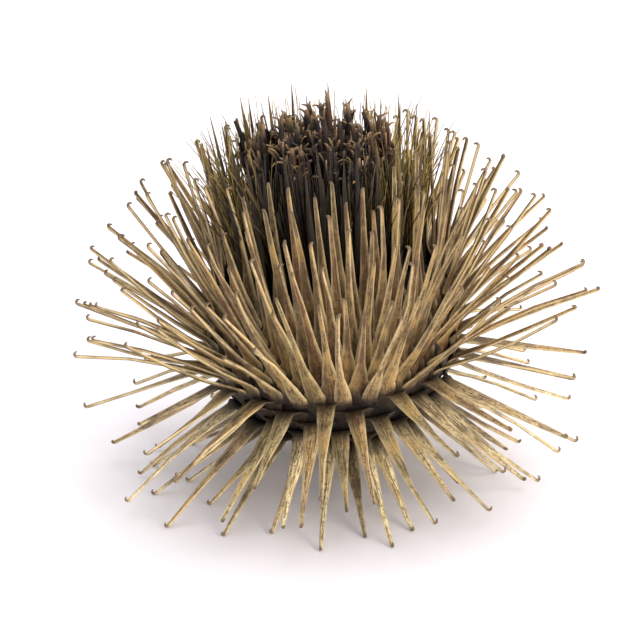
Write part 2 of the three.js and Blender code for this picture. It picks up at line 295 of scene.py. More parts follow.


# %% [markdown]
# ### Dry bract
#
# A bract is dead leaf tissue: straw, in effect. It dries on the plant to a satin yellow-brown, greyer
# near the flowers, with long pale fibres, a paler thin edge and a dark, hard hook. The fibres are
# about a tenth of a millimetre apart. One colour for all would look like moulded plastic, so each
# bract carries a tone and a hue of its own. Where the bracts overlap, shade is painted in as a layer
# too. The rows near the rim are made darker, partly their own grey and partly painted shade, and the
# low, hanging rows paler, partly their own tone and partly painted light.

# %% The dry bracts' finish
def dry_bract():
    """Cellulose with an IOR near 1.5, and satin: the fibres break up the gloss. No two bracts have
    aged alike, so each has its own tone and hue, and all carry painted shade where they overlap."""
    material, tree, along, edge, rise, shade, tone, hue = new_finish(
        "dry_fibrous_straw_bract", "along", "edge", "rise", "shade", "tone", "hue"
    )
    streak = fibres(tree, 8.0, 0.5)
    speck = fibres(tree, 5.0, 3.0, detail=3.0)
    patch = fibres(tree, 0.9, 0.5)
    place = add_node(tree, "ShaderNodeTexCoord")
    blotch = add_node(
        tree, "ShaderNodeTexNoise",
        Vector=place.outputs["Object"], Scale=300.0, Detail=4.0, Roughness=0.65,
    )
    weather = blotch.outputs["Fac"]
    # paler low on the head and darker towards the rim: partly the bracts' own tone, partly painted
    # light on the hanging rows and painted shade near the rim
    straw = tinted(tree, linear("#fdecbc"), "#a68a5b", rise, 0.3, 0.55)
    greyed_and_painted_shade = tinted(tree, straw, "#5b4e36", rise, 0.6, 0.92, 0.82)
    aged = tinted(tree, greyed_and_painted_shade, "#755735", tone, -0.4, 1.0, 0.85)
    olive = tinted(tree, aged, "#7d7743", hue, 0.2, 1.0, 0.6)
    reddened = tinted(tree, olive, "#a06e3c", hue, -0.2, -1.0, 0.5)
    streaked = tinted(tree, reddened, "#4a331f", streak, 0.56, 0.42, 0.75)
    patched = tinted(tree, streaked, "#5a4429", patch, 0.5, 0.68, 0.6)
    specked = tinted(tree, patched, "#3b2919", speck, 0.54, 0.62, 0.75)
    edged = tinted(tree, specked, "#ecd7a6", edge, 0.5, 1.0, 0.6)
    browned = tinted(tree, edged, "#4f3920", weather, 0.5, 0.66, 0.75)
    bleached = tinted(tree, browned, "#c9a563", weather, 0.5, 0.36, 0.4)
    # painted shade: the covered feet of the bracts are darkened
    shaded = tinted(tree, bleached, "#1d1009", shade, 0.0, 1.0, 0.95)
    hooked = tinted(tree, shaded, "#56432f", along, 0.97, 1.08, 0.8)
    finish_surface(tree, hooked, 0.62, height=streak, height_mm=0.09)
    return material


bract_finish = dry_bract()
print("finish:", bract_finish.name, "of", len(bract_finish.node_tree.nodes), "nodes")

# %% [markdown]
# ## Tubes carried along paths
#
# Nearly everything on the head is long and thin: bracts, florets, bristles. Each is a small section
# carried along a path, and hundreds are worked out at once, as one array with an axis for the copy,
# one for the place along the path and one for the place round the section. Curves with a bevel would
# give round tubes only, and modelling one bract and scattering it would make them all alike.

# %% From arrays of points to a mesh
def tube_faces(copies, stations, around, first=0):
    """Quads between neighbouring rings, and one face to close each end, all facing outwards."""
    index = first + np.arange(copies * stations * around).reshape(copies, stations, around)
    here, ahead = index[:, :-1], index[:, 1:]
    walls = np.stack((here, np.roll(here, -1, 2), np.roll(ahead, -1, 2), ahead), axis=-1)
    ends = np.concatenate((index[:, 0, ::-1], index[:, -1]))
    return walls.reshape(-1, 4).tolist() + ends.tolist()


def joined(parts, key, size=()):
    """The values that all parts hold under a key, one after another, one for each point."""
    values = [np.broadcast_to(part[key], part["grid"].shape[:3] + size) for part in parts]
    return np.concatenate([value.reshape(-1, *size) for value in values]).astype(np.float32)


def make_piece(name, parts, material):
    """One mesh object from parts, each a dictionary with a grid of points and values at the points.
    The grid has the axes copy, station, around and x y z; map holds two lengths in millimetres."""
    mesh = bpy.data.meshes.new(name)
    points, faces = [], []
    for part in parts:
        faces += tube_faces(*part["grid"].shape[:3], first=sum(len(p) for p in points))
        points.append(part["grid"].reshape(-1, 3))
    mesh.from_pydata(np.concatenate(points), [], faces)
    mesh.polygons.foreach_set("use_smooth", np.ones(len(mesh.polygons), bool))
    for key in parts[0]:
        if key not in ("grid", "map"):
            attribute = mesh.attributes.new(key, "FLOAT", "POINT")
            attribute.data.foreach_set("value", joined(parts, key))
    corner = np.empty(len(mesh.loops), np.int32)
    mesh.loops.foreach_get("vertex_index", corner)
    layer = mesh.uv_layers.new(name="fibre_map")
    layer.data.foreach_set("uv", joined(parts, "map", size=(2,))[corner].reshape(-1))
    mesh.materials.append(material)
    mesh.validate()
    piece = bpy.data.objects.new(name, mesh)
    bpy.context.scene.collection.objects.link(piece)
    return piece


def join_row(piece, node):
    """Every piece rides on the one body, and the imported part it stands for, if any, is hidden."""
    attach(piece, "root")
    if node:
        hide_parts(node)


# %% A path built up step by step
def carried_path(start, lengths, bend, twist, forwards, inwards, across):
    """Every step goes forwards by the cosine of its bend and inwards, turned aside by the twist, by
    its sine. Returns the places at the ends of the steps, and the directions to the side and square
    to the path there."""
    cosine, sine = np.cos(twist)[..., None], np.sin(twist)[..., None]
    turned_in = inwards[:, None] * cosine + across[:, None] * sine
    side = across[:, None] * cosine - inwards[:, None] * sine
    mid = (bend[:, 1:] + bend[:, :-1]) / 2
    step = (
        forwards[:, None] * np.cos(mid)[..., None]
        + turned_in[:, 1:] * np.sin(mid)[..., None]
    ) * lengths[..., None]
    places = np.concatenate((np.zeros_like(step[:, :1]), np.cumsum(step, axis=1)), axis=1)
    normal = turned_in * np.cos(bend)[..., None] - forwards[:, None] * np.sin(bend)[..., None]
    return start[:, None] + places, side, normal


def carried_section(centre, side, normal, sideways, through):
    """The section's points round the path: its two coordinates along the side and the normal."""
    return (
        centre[:, :, None]
        + side[:, :, None] * sideways[..., None]
        + normal[:, :, None] * through[..., None]
    )


# %% [markdown]
# ## Hooked bracts
#
# A bract starts as a broad scale that lies against the cup, tucked in behind the bracts below it. At
# its neck it turns outwards and becomes a stiff blade with a keel, which tapers to a needle, and the
# needle ends in a hook that is bent back over the blade's inner side. The lowest rows splay on the
# table and carry the head, and at the parting above them the first spreading scales are short. At the
# front the lower spreading bracts have been pressed up against the cup, into a thatch.
#
# Each row could be one bract copied round a circle, which leaves rings that the eye finds at once.
# Here a row takes the next numbers of one long golden-angle spiral, and each number sets its own
# bract's length, bow, twist and hook.

# %% Where each bract grows and points
HEAD_UP = np.array([0.0, 0.0, 1.0])
NECK_LENGTH = 0.4 * MM
HOOK_RADIUS = 0.34 * MM
YAW = 0.0, np.radians(4), 1  # middle, spread and channel, as in all that is varied


def laid_on_table(neck, forwards, inwards, pitch, length):
    """A bract that would go through the table is turned up until the outside of its hook lies on
    it: the sine of its drop is its height over its length. That is worked out twice, because how
    far the hook dips depends on the drop. Also tells which bracts those are."""
    neck_height = height_over_table(neck)[:, None]
    dip = HOOK_RADIUS * (1 - np.cos(pitch))
    lands = neck_height + length * (forwards @ table_up)[:, None] < dip
    level = forwards - table_up * (forwards @ table_up)[:, None]
    level /= np.linalg.norm(level, axis=-1, keepdims=True)
    drop = np.arcsin(np.clip(neck_height / length, -1, 1))
    drop = np.arcsin(np.clip((neck_height - HOOK_RADIUS * (1 - np.cos(drop))) / length, -1, 1))
    forwards = np.where(lands, level * np.cos(drop) - table_up * np.sin(drop), forwards)
    inwards = np.where(lands, level * np.sin(drop) + table_up * np.cos(drop), inwards)
    return forwards, inwards, lands[:, 0]


def bract_pose(number, band_middle, pitch, length):
    """Each bract's neck, its directions forwards, inwards and across, the way up the cup beside it,
    and whether it lies on the table. The directions follow from its turn, yaw and pitch."""
    turn = number * GOLDEN_ANGLE
    level_out = np.stack((np.cos(turn), np.sin(turn), 0 * turn), axis=-1)
    tilt = cup_tilt(band_middle)[:, None]
    radius, height = (value[:, None] for value in cup_point(band_middle))
    square = level_out * np.cos(tilt) + HEAD_UP * np.sin(tilt)
    neck = level_out * radius + HEAD_UP * height + square * NECK_LENGTH

    yawed = turn + varied(number, *YAW)
    heading = np.stack((np.cos(yawed), np.sin(yawed), 0 * yawed), axis=-1)
    pitch, length = pitch[:, None], length[:, None]
    forwards = heading * np.cos(pitch) + HEAD_UP * np.sin(pitch)
    inwards = -heading * np.sin(pitch) + HEAD_UP * np.cos(pitch)
    forwards, inwards, lands = laid_on_table(neck, forwards, inwards, pitch, length)
    across = np.cross(inwards, forwards)
    across /= np.linalg.norm(across, axis=-1, keepdims=True)
    up_the_cup = level_out * -np.sin(tilt) + HEAD_UP * np.cos(tilt)
    return neck, forwards, inwards, across, up_the_cup, lands


# %% How steep and how long a hooked bract is
LOWEST_PITCH = np.radians(-52)
HANGING_PITCH = np.radians(-16)
PARTING_PITCH = np.radians(15)
RIM_PITCH = np.radians(86)
PARTING_STEP = 1e-6  # the pitch jumps at the parting
EXTRA_PITCH = 0.0, np.radians(4), 2
FRONT_LIFT = np.radians(30)  # of the lowest spreading bracts at the front
HOOK_TIP_REACH = 22.3 * MM
RIM_TIP_REACH = 18.9 * MM
LOWEST_BRACT_LENGTH = 8.5 * MM
FULL_LENGTH_RATE = 1.8
SHORTEST_CUT = 0.38
CUT_SHARE = 0.5, 0.5, 3


def plain_pitch(angle):
    """Hanging below the parting, and turning upwards row by row above it."""
    return np.interp(
        angle,
        [LOWEST_BRACT_AT, PARTING_AT - PARTING_STEP, PARTING_AT, RIM_AT],
        [LOWEST_PITCH, HANGING_PITCH, PARTING_PITCH, RIM_PITCH],
    )


def hooked_lengths(number, band_middle, pitch):
    """Each blade's length: from the cup to the round shell on which the hooks lie, but short ones
    near the stalk. Where a line meets a ball is the root of a square equation. The cube of an even
    spread cuts only a few bracts much shorter."""
    radius, height = cup_point(band_middle)
    reach = np.interp(band_middle, [PARTING_AT, RIM_AT], [HOOK_TIP_REACH, RIM_TIP_REACH])
    along = radius * np.cos(pitch) + height * np.sin(pitch)
    to_shell = np.sqrt(along**2 + reach**2 - radius**2 - height**2) - along
    share = blend_step((1 - band_middle / LOWEST_BRACT_AT) * FULL_LENGTH_RATE)
    full = LOWEST_BRACT_LENGTH + (to_shell - LOWEST_BRACT_LENGTH) * share
    return full * (1 - SHORTEST_CUT * varied(number, *CUT_SHARE) ** 3) - NECK_LENGTH


# %% The path of a hooked bract
SCALE_STATIONS = np.array([-1.0, -0.72, -0.42, -0.2, 0.0])  # shares of the scale's length
BLADE_STATIONS = np.array([0.08, 0.16, 0.3, 0.62, 1.0])  # shares of the blade's length
HOOK_STATIONS = np.array([0.22, 0.48, 0.74, 1.0])  # shares of the hook's turn
NEEDLE_DEPTH = 0.27 * MM
HOOK_CENTRE_RADIUS = HOOK_RADIUS - NEEDLE_DEPTH / 2
HOOK_TURN = np.radians(172), 0.3, 9
SCALE_TUCK = np.radians(10)
NECK_TURN_LENGTH = 1.1 * MM
BLADE_BOW = 0.0, 0.17, 6
BLADE_TWIST = 0.0, 0.9, 8


def bract_stations(length, scale_length, hook_turn):
    """Distances from the neck: back along the scale, out along the blade, and round the hook, where
    an arc is its turn times its radius."""
    return np.concatenate(
        (
            scale_length * SCALE_STATIONS,
            length * BLADE_STATIONS,
            length + hook_turn * HOOK_CENTRE_RADIUS * HOOK_STATIONS,
        ),
        axis=1,
    )


def bract_path(number, pose, distance, share, hook_turn):
    """The centre line with its directions. The bend from the blade's own direction follows the cup
    in the scale, is none at the neck, bows the blade slightly, and goes round into the hook. What
    lies on the table is neither bowed nor twisted."""
    neck, forwards, inwards, across, up_the_cup, lands = pose
    cup_bend = np.arctan2(
        np.sum(up_the_cup * inwards, -1), np.sum(up_the_cup * forwards, -1)
    )[:, None] - SCALE_TUCK
    free = np.where(lands, 0, 1)
    bow = (varied(number, *BLADE_BOW) * free)[:, None]
    bend = cup_bend * (1 - blend_step(1 + distance / NECK_TURN_LENGTH)) * (distance < 0)
    bend = bend + bow * (2 * np.clip(share, 0, 1) - 1) * (distance > 0)
    tip = len(BLADE_STATIONS) + len(SCALE_STATIONS)
    bend[:, tip:] = bend[:, tip - 1:tip] + hook_turn * HOOK_STATIONS
    twist = (varied(number, *BLADE_TWIST) * free)[:, None] * blend_step(share)
    centre, side, normal = carried_path(
        0 * neck, np.diff(distance, axis=1), bend, twist, forwards, inwards, across
    )
    foot = len(SCALE_STATIONS)
    return centre - centre[:, foot - 1:foot] + neck[:, None], side, normal


# %% The section of a hooked bract
NECK_WIDTHS = np.array([1.5, 1.4]) * MM  # of hanging and of spreading bracts
SCALE_WIDTHS = np.array([3.4, 2.2]) * MM
NEEDLE_WIDTH = 0.32 * MM
TIP_WIDTH = 0.1 * MM
KEEL_DEPTH = 0.24 * MM
HOLLOW_DEPTH = 0.02 * MM
EDGE_DEPTH = 0.05 * MM
SECTION_EDGES = np.array([1.0, 0.0, 1.0, 1.0, 0.0, 1.0])  # 1 at the thin edges
ROUND_INSET = 0.134  # the edges of a round section stand at 30 degrees: 1 less the cosine of that
NARROWING_SHARE = 0.42  # of a spreading blade, over which it narrows most
EVEN_NARROWING = 0.25, 0.3, 1.5  # the share at the parting, what is added up the cup, and how fast
HANGING_NARROWING = 1.05, 0.8  # how far the step reaches, and its power
BULGE_REACH = 1.1  # above 1, so the scale's end is a little narrower than its neck


def bract_widths(spreading, up_to_rim, plumpness, share, scale_share, hook_share):
    """Widths at the stations. A hanging blade is a broad leaf that narrows by a smooth step over its
    length. A spreading one narrows by a step over its first two fifths and evenly for the rest. The
    scale bulges by half a sine wave, and the hook tapers with its share squared."""
    neck_width, scale_width = NECK_WIDTHS[spreading][:, None], SCALE_WIDTHS[spreading][:, None]
    outwards = np.clip(share, 0, 1)
    least, added, rate = EVEN_NARROWING
    even = least + added * blend_step(up_to_rim * rate)[:, None]
    reach, power = HANGING_NARROWING
    narrowed = np.where(
        spreading[:, None],
        even * (1 - outwards) + (1 - even) * (1 - blend_step(outwards / NARROWING_SHARE)),
        1 - blend_step(outwards * reach) ** power,
    )
    width = NEEDLE_WIDTH + (neck_width - NEEDLE_WIDTH) * narrowed
    bulge = (scale_width - neck_width) * plumpness[:, None]
    width = width + bulge * np.sin(np.pi * np.clip(scale_share * BULGE_REACH, 0, 1))
    return width + (TIP_WIDTH - NEEDLE_WIDTH) * hook_share**2


def bract_section(width, roundness, hook_share):
    """Six points round a bract, sideways and through it: its two thin edges, the keel outside and
    the hollow inside. They move on to a circle as the roundness goes from 0 to 1."""
    depth = NEEDLE_DEPTH / 2 + (TIP_WIDTH - NEEDLE_DEPTH) / 2 * hook_share**2
    outer = KEEL_DEPTH + (depth - KEEL_DEPTH) * roundness
    inner = -HOLLOW_DEPTH + (depth + HOLLOW_DEPTH) * roundness
    edge = EDGE_DEPTH + (depth / 2 - EDGE_DEPTH) * roundness
    half_width = width / 2 * (1 - ROUND_INSET * roundness)
    sideways = np.stack((half_width, 0 * edge, -half_width, -half_width, 0 * edge, half_width), -1)
    through = np.stack((edge, inner, edge, -edge, -outer, -edge), -1)
    return sideways, through


# %% A set of hooked bracts
SCALE_LENGTH = 2.4 * MM
PARTING_SCALE_SHARE = 0.5
FULL_SCALE_RATE = 4
ROUNDING = 1.15  # above 1, so the blade is round a little before the hook
SHADE_END_MM = 1.9, -0.5  # from the neck, on hanging and on spreading bracts
SHADE_FADE_MM = 2.3, 1.2
BRACT_TONE = 0.0, 1.0, 10
BRACT_HUE = 0.0, 1.0, 28
# the hanging bracts' tone is shifted paler: partly their own paler tone, partly painted light
HANGING_PALENESS_AND_PAINTED_LIGHT = 0.6
MAP_SHIFT_MM = 0.0, 40.0, 11  # along the fibres, so that no two bracts have the same ones
FOOT_ALONG, HOOK_ALONG = -0.2, 0.2  # the least that along can be, and what the hook adds to it


def covered_share(spreading, shortened, distance):
    """1 on a bract's covered foot, where shade is painted, 0 in the open, and a smooth step between.
    Next to the parting, where the scales are short, the cover reaches half a millimetre further."""
    end = np.where(spreading, SHADE_END_MM[1] + shortened, SHADE_END_MM[0])[:, None] * MM
    fade = np.where(spreading, SHADE_FADE_MM[1] * (1 - shortened / 2), SHADE_FADE_MM[0])[:, None] * MM
    return blend_step((end - distance) / fade)


def hooked_bracts(number, band_middle):
    """All bracts with these numbers as one part for make_piece. The scales are shortest just above
    the parting, where they would show as plates, and full again a quarter of the way to the rim."""
    spreading = (band_middle > PARTING_AT).astype(int)
    up_to_rim = (band_middle - PARTING_AT) / (RIM_AT - PARTING_AT)
    lift = FRONT_LIFT * at_front(number * GOLDEN_ANGLE) * (1 - up_to_rim) * spreading
    pitch = plain_pitch(band_middle) + lift + varied(number, *EXTRA_PITCH)
    length = hooked_lengths(number, band_middle, pitch)
    pose = bract_pose(number, band_middle, pitch, length)
    shortened = spreading * (1 - PARTING_SCALE_SHARE) * (1 - blend_step(up_to_rim * FULL_SCALE_RATE))
    plumpness = 1 - shortened / (1 - PARTING_SCALE_SHARE)
    scale_length = (SCALE_LENGTH * (1 - shortened))[:, None]
    hook_turn = varied(number, *HOOK_TURN)[:, None]

    distance = bract_stations(length[:, None], scale_length, hook_turn)
    share = distance / length[:, None]
    scale_share = np.clip(-distance / scale_length, 0, 1)
    hook_share = np.concatenate((0 * SCALE_STATIONS, 0 * BLADE_STATIONS, HOOK_STATIONS))
    roundness = blend_step(share * ROUNDING)
    centre, side, normal = bract_path(number, pose, distance, share, hook_turn)
    inwards = pose[2]
    centre = centre + inwards[:, None] * (NEEDLE_DEPTH / 2 * roundness)[..., None]
    width = bract_widths(spreading, up_to_rim, plumpness, share, scale_share, hook_share)
    sideways, through = bract_section(width, roundness, hook_share)

    down_the_map = distance / MM + varied(number, *MAP_SHIFT_MM)[:, None]
    rise = (band_middle - LOWEST_BRACT_AT) / (RIM_AT - LOWEST_BRACT_AT)
    return {
        "grid": on_table(carried_section(centre, side, normal, sideways, through)),
        "map": np.stack(np.broadcast_arrays(sideways / MM, down_the_map[..., None]), axis=-1),
        "along": (np.clip(share, FOOT_ALONG, 1) + HOOK_ALONG * hook_share)[..., None],
        "edge": SECTION_EDGES,
        "tone": (varied(number, *BRACT_TONE) - HANGING_PALENESS_AND_PAINTED_LIGHT * (1 - spreading))[:, None, None],
        "hue": varied(number, *BRACT_HUE)[:, None, None],
        "rise": rise[:, None, None],
        "shade": covered_share(spreading, shortened, distance)[..., None],
    }


# %% Make the rows of hooked bracts
BRACTS_IN_HANGING_ROW = 13
BRACTS_IN_ROW = 17

next_number = 0
for row in range(HANGING_ROWS + SPREADING_ROWS):
    count = BRACTS_IN_HANGING_ROW if row < HANGING_ROWS else BRACTS_IN_ROW
    numbers = next_number + np.arange(float(count))
    middles = np.full(count, (hooked_edges[row] + hooked_edges[row + 1]) / 2)
    bracts = make_piece(f"hooked_bracts_{row + 1:02d}", [hooked_bracts(numbers, middles)], bract_finish)
    join_row(bracts, f"hooked_bracts_row_{row + 1:02d}")
    next_number += count
print("hooked bracts:", next_number, "of", len(bracts.data.polygons) // BRACTS_IN_ROW, "faces each")

# %% [markdown]
# ## Straight inner bracts
#
# The innermost bracts stand round the flowers like a fence. They have no hook and are thinner than
# the others, golden, with painted shade that darkens them down towards the foot and at the front of
# the head. A flat strip would do from one side, but an oval tube with a slight bow and twist is
# closed and catches the light from every side.

# %% The inner bracts' finish
def inner_bract():
    """Thin dead leaf, wrinkled along and dusty, which leaves it nearly matte."""
    material, tree, along, edge, tone = new_finish("thin_golden_inner_bract", "along", "edge", "tone")
    streak = fibres(tree, 10.0, 0.6)
    # the tone holds each bract's own tone and, at the front of the head, painted shade
    gold = tinted(tree, linear("#a08848"), "#1b130c", tone, -0.8, 0.8)
    streaked = tinted(tree, gold, "#33281a", streak, 0.65, 0.4, 0.6)
    # painted shade: darker from near the tip down to the foot, deep in the tuft
    foot_painted_shade = tinted(tree, streaked, "#170f09", along, 0.9, 0.1, 0.95)
    edged = tinted(tree, foot_painted_shade, "#a8935f", edge, 0.6, 1.0, 0.12)
    finish_surface(tree, edged, 0.75, height=streak, height_mm=0.05)
    return material


inner_finish = inner_bract()
print("finish:", inner_finish.name, "of", len(inner_finish.node_tree.nodes), "nodes")


# %% Oval tubes along bent paths
def carried_tubes(start, forwards, inwards, distance, bend, half_width, half_depth, around, twist=0.0):
    """Cosine and sine of the angle round a tube, times its half width and half depth, carried along
    the path. Returns the grid, its map and how near each point is to the tube's thin sides."""
    bend, twist = np.broadcast_to(bend, distance.shape), np.broadcast_to(twist, distance.shape)
    centre, side, normal = carried_path(
        start, np.diff(distance, axis=1), bend, twist, forwards, inwards, np.cross(inwards, forwards)
    )
    angle = 2 * np.pi * (np.arange(around) + 0.5) / around
    wide = np.broadcast_to(half_width, distance.shape)[..., None] * np.cos(angle)
    deep = np.broadcast_to(half_depth, distance.shape)[..., None] * np.sin(angle)
    tube_map = np.stack(np.broadcast_arrays(wide / MM, distance[..., None] / MM), axis=-1)
    return carried_section(centre, side, normal, wide, deep), tube_map, np.abs(np.cos(angle))


# %% Make the inner bracts
INNER_LENGTH = 11.2 * MM
INNER_LENGTH_SHARE = 1.0, 0.07, 3
INNER_PITCH = np.radians(84), np.radians(2), 2
INNER_BOW = 0.0, 0.12, 6
INNER_WAVES = 6
INNER_TWIST = 0.0, 0.6, 7
INNER_TONE = 0.0, 0.6, 10
INNER_STATIONS = np.array([-0.12, 0.0, 0.2, 0.4, 0.6, 0.8, 0.92, 1.0])
INNER_HALF_WIDTHS = 0.3 * MM * np.array([1.1, 1.2, 1.1, 1.0, 0.85, 0.5, 0.25, 0.06])
INNER_HALF_DEPTHS = 0.15 * MM * np.array([0.6, 0.8, 0.8, 0.7, 0.6, 0.45, 0.3, 0.1])
INNER_AROUND = 6


def inner_bracts(number, band_middle):
    """Straight blades that taper over their last two fifths, with a slight bow and twist."""
    pitch = varied(number, *INNER_PITCH)
    length = INNER_LENGTH * varied(number, *INNER_LENGTH_SHARE)
    neck, forwards, inwards, *_ = bract_pose(number, band_middle, pitch, length)
    start = neck + forwards * (length * INNER_STATIONS[0])[:, None]
    bow = varied(number, *INNER_BOW)[:, None] * np.sin(INNER_STATIONS * INNER_WAVES)
    twist = varied(number, *INNER_TWIST)[:, None] * INNER_STATIONS
    grid, tube_map, edge = carried_tubes(
        start, forwards, inwards, length[:, None] * INNER_STATIONS, bow,
        INNER_HALF_WIDTHS, INNER_HALF_DEPTHS, INNER_AROUND, twist,
    )
    down_the_map = np.array([0, 1]) * varied(number, *MAP_SHIFT_MM)[:, None, None, None]
    return {
        "grid": on_table(grid),
        "map": tube_map + down_the_map,
        "along": INNER_STATIONS[:, None],
        "edge": edge,
        # at_front adds painted shade to the bracts at the front of the head
        "tone": (varied(number, *INNER_TONE) + at_front(number * GOLDEN_ANGLE))[:, None, None],
    }


for row in range(INNER_ROWS):
    numbers = next_number + np.arange(float(BRACTS_IN_ROW))
    middles = np.full(BRACTS_IN_ROW, (inner_edges[row] + inner_edges[row + 1]) / 2)
    bracts = make_piece(f"inner_bracts_{row + 1}", [inner_bracts(numbers, middles)], inner_finish)
    join_row(bracts, f"inner_bracts_row_{row + 1}")
    next_number += BRACTS_IN_ROW
print("inner bracts:", INNER_ROWS * BRACTS_IN_ROW, "in", INNER_ROWS, "rows")

# %% [markdown]
# ## Stalk and receptacle
#
# Under the head a stub of stalk is left where it was picked, and inside the cup it swells into the
# receptacle that everything grows on. It is one grown shape, so it is one turned surface, with the
# ribs of a real stalk pressed in, where a stack of a cylinder and a ball would show a seam. Deep in
# the cup it is darkened with painted shade, and the picked end shows its torn, paler pith.

# %% The stalk's finish
def stalk_skin():
    """Dry woody skin: matte, ribbed along, with a pale pith at the broken end."""
    material, tree, pith, inside = new_finish("dry_ribbed_stalk", "pith", "inside")
    rib = fibres(tree, 1.6, 0.25, detail=3.0)
    skin = tinted(tree, linear("#3a2b1b"), "#6d5838", rib, 0.35, 0.65)
    # painted shade: the receptacle darkens up into the cup
    hidden = tinted(tree, skin, "#120a06", inside, 0.0, 1.0)
    ended = tinted(tree, hidden, "#b7a27a", pith, 0.5, 1.0)
    finish_surface(tree, ended, 0.8, height=rib, height_mm=0.08)
    return material


stalk_finish = stalk_skin()
print("finish:", stalk_finish.name, "of", len(stalk_finish.node_tree.nodes), "nodes")

# %% Make the stalk end
STUB_RADIUS = 1.35 * MM
STUB_LENGTH = 3.2 * MM
STALK_RIBS = 9
RIB_DEPTH = 0.07
RIB_FADE = 1.5 * MM
FILLING = 0.7 * MM  # how far the receptacle fills the cup's wall behind the scales
FILLING_TURN = 0.4
# the height over which the painted shade inside the cup fades in
PAINTED_SHADE_RISE = 2 * MM
SWELL_STATIONS, TURN_STATIONS, PITH_STATIONS = 26, 72, 2
# The stub's outline, from the axis under it, round its edge and up its side.
END_RADII = STUB_RADIUS * np.array([0.02, 0.5, 0.86, 1.0, 1.0, 0.98])
END_HEIGHTS = STUB_LENGTH * np.array([0.07, 0.05, 0.0, 0.03, 0.4, 0.8])
TOP_RADII = np.array([0.7, 0.35, 0.01])  # shares of the bed's radius


def stalk_end():
    """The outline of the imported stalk, swollen by the filling between the stub and the rim, turned
    round its axis and pressed in by a wave of ribs that fades where the stalk swells. Both ends
    close on the axis."""
    depth = CUP_WALL + SEAT_GAP
    swells_at = -np.arccos((STUB_RADIUS / (CUP_RADIUS - depth)) ** (1 / CUP_FULLNESS))
    lowest = cup_point(-np.pi / 2, depth)[1]
    angles = np.linspace(swells_at, INNER_RIM_AT, SWELL_STATIONS)
    filled = (
        FILLING
        * blend_step((angles - swells_at) / FILLING_TURN)
        * blend_step((RIM_AT - angles) / FILLING_TURN)
    )
    swell_radius, swell_height = cup_point(angles, depth - filled)
    top_height = np.full(len(TOP_RADII), swell_height[-1])
    radius = np.concatenate((END_RADII, swell_radius, swell_radius[-1] * TOP_RADII))
    height = np.concatenate((lowest - STUB_LENGTH + END_HEIGHTS, swell_height, top_height))
    turn = np.linspace(0, 2 * np.pi, TURN_STATIONS, endpoint=False)
    ribs = RIB_DEPTH * np.exp(-np.maximum(height - lowest, 0) / RIB_FADE)
    ribbed = radius[:, None] * (1 + ribs[:, None] * np.sin(STALK_RIBS * turn))
    upright = np.broadcast_to(height[:, None], ribbed.shape)
    arc = np.broadcast_to(turn * STUB_RADIUS, ribbed.shape)
    grid = np.stack((ribbed * np.cos(turn), ribbed * np.sin(turn), upright), axis=-1)
    return {
        "grid": on_table(grid)[None],
        "map": np.stack((arc / MM, upright / MM), axis=-1)[None],
        "pith": (np.arange(len(radius)) < PITH_STATIONS)[None, :, None],
        "inside": blend_step((height - lowest) / PAINTED_SHADE_RISE)[None, :, None],
    }


stalk = make_piece("stalk_and_receptacle_skin", [stalk_end()], stalk_finish)
join_row(stalk, "stalk_and_receptacle")
print("stalk end:", len(stalk.data.polygons), "faces")

# %% [markdown]
# ## Withered florets
#
# Each floret is a tube of petals grown together, which widens to a throat and splits into five narrow
# lobes. Out of it stands a dark tube of anthers with loose threads, and out of that the style with
# its two curled branches. Withered, it is nearly black, with tan tips.
#
# Hair particles would be quick here, but a floret is a thick, branched thing that shows its parts at
# the top of the tuft. So each is built from a few sets of tubes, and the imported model's thirty-six
# places and lengths are kept.

# %% The florets' finish
def withered_floret():
    """Dead petals: dark brown, creased along, matte, and tan at the tips of the lobes and the styles,
    with painted shade that turns them black deep in the tuft."""
    material, tree, pale, tone, high = new_finish("withered_dark_floret", "pale", "tone", "high")
    crease = fibres(tree, 6.0, 0.9)
    dark = tinted(tree, linear("#060302"), "#2d1b14", crease, 0.4, 0.6)
    browned = tinted(tree, dark, "#5e4029", tone, 0.0, 1.0, 0.6)
    # painted shade: black low on the floret, deep in the tuft
    deep = tinted(tree, browned, "#050201", high, 0.9, 0.45, 0.96)
    tipped = tinted(tree, deep, "#a88a60", pale, 0.2, 1.0, 0.85)
    finish_surface(tree, tipped, 0.8, height=crease, height_mm=0.05)
    return material


floret_finish = withered_floret()
print("finish:", floret_finish.name, "of", len(floret_finish.node_tree.nodes), "nodes")

# %% Where each floret stands
FLORET_COUNT = 36
FLORET_LENGTH = 12.9 * MM
FLORET_LENGTH_SHARE = 1.0, 0.06, 5
FLORET_RADIUS = 0.4 * MM
FLORET_SPLAY = np.radians(5)
FLORET_DOME = 1.8 * MM

bed_edge, bed_height = cup_point(INNER_RIM_AT, CUP_WALL + SEAT_GAP)
outermost_floret = bed_edge - FLORET_RADIUS - SEAT_GAP
print("bed of the florets:", round(float(bed_edge / MM), 2), "mm in radius")


def floret_stand(number):
    """A floret's foot on its bed, the way it points, a direction square to that, and its length. The
    distance from the middle is the square root of its share, which spaces the florets evenly."""
    outwards = np.sqrt((number + 0.5) / FLORET_COUNT)
    turn = number * GOLDEN_ANGLE
    splay = FLORET_SPLAY * outwards
    foot = np.stack(
        (
            outermost_floret * outwards * np.cos(turn),
            outermost_floret * outwards * np.sin(turn),
            bed_height + SEAT_GAP + FLORET_RADIUS * np.sin(splay),
        ),
        axis=-1,
    )
    axis = np.stack(
        (np.sin(splay) * np.cos(turn), np.sin(splay) * np.sin(turn), np.cos(splay)), axis=-1
    )
    out = np.stack(
        (np.cos(splay) * np.cos(turn), np.cos(splay) * np.sin(turn), -np.sin(splay)), axis=-1
    )
    length = (FLORET_LENGTH - FLORET_DOME * outwards**2) * varied(number, *FLORET_LENGTH_SHARE)
    return foot[None], axis[None], out[None], length


